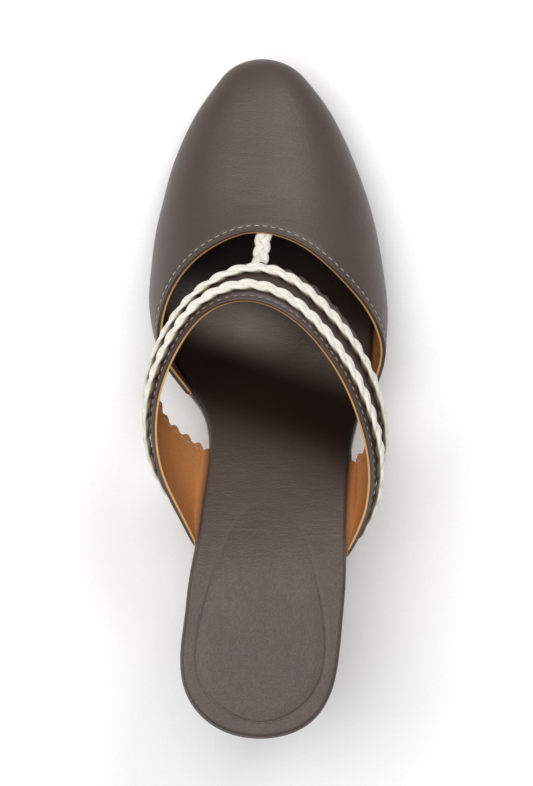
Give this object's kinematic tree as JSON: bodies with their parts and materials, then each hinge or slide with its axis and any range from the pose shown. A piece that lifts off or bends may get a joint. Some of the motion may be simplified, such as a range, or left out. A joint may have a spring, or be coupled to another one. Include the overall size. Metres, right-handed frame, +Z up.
{
  "type": "block heel shoe",
  "caption": "Closed almond-toe mule with a braided instep strap joined to the vamp by a centre braid, a leather footbed and a block heel.",
  "frame": {"origin": "on the floor, on the flat bottom of the heel's top lift, under the middle of the heel seat", "axes": "+Y from the heel to the toe, +X to the outer side of the right foot, +Z up from the floor"},
  "size_m": [0.0869, 0.2361, 0.0695],
  "materials": {
    "taupe_leather": "fine pebble grain, soft satin",
    "footbed_leather": "smooth satin lining leather",
    "cotton_braid": "matte twisted thong",
    "heel_cover": "satin leather cover",
    "leather_outsole": "smooth waxed",
    "rubber_lift": "matte"
  },
  "bodies": {
    "root": {"outsole": "leather_outsole", "insole": "footbed_leather", "vamp": "taupe_leather", "instep_strap": "taupe_leather", "braid_front": "cotton_braid", "braid_back": "cotton_braid", "centre_braid": "cotton_braid", "heel_block": "heel_cover", "heel_top_lift": "rubber_lift"}
  },
  "joints": []
}
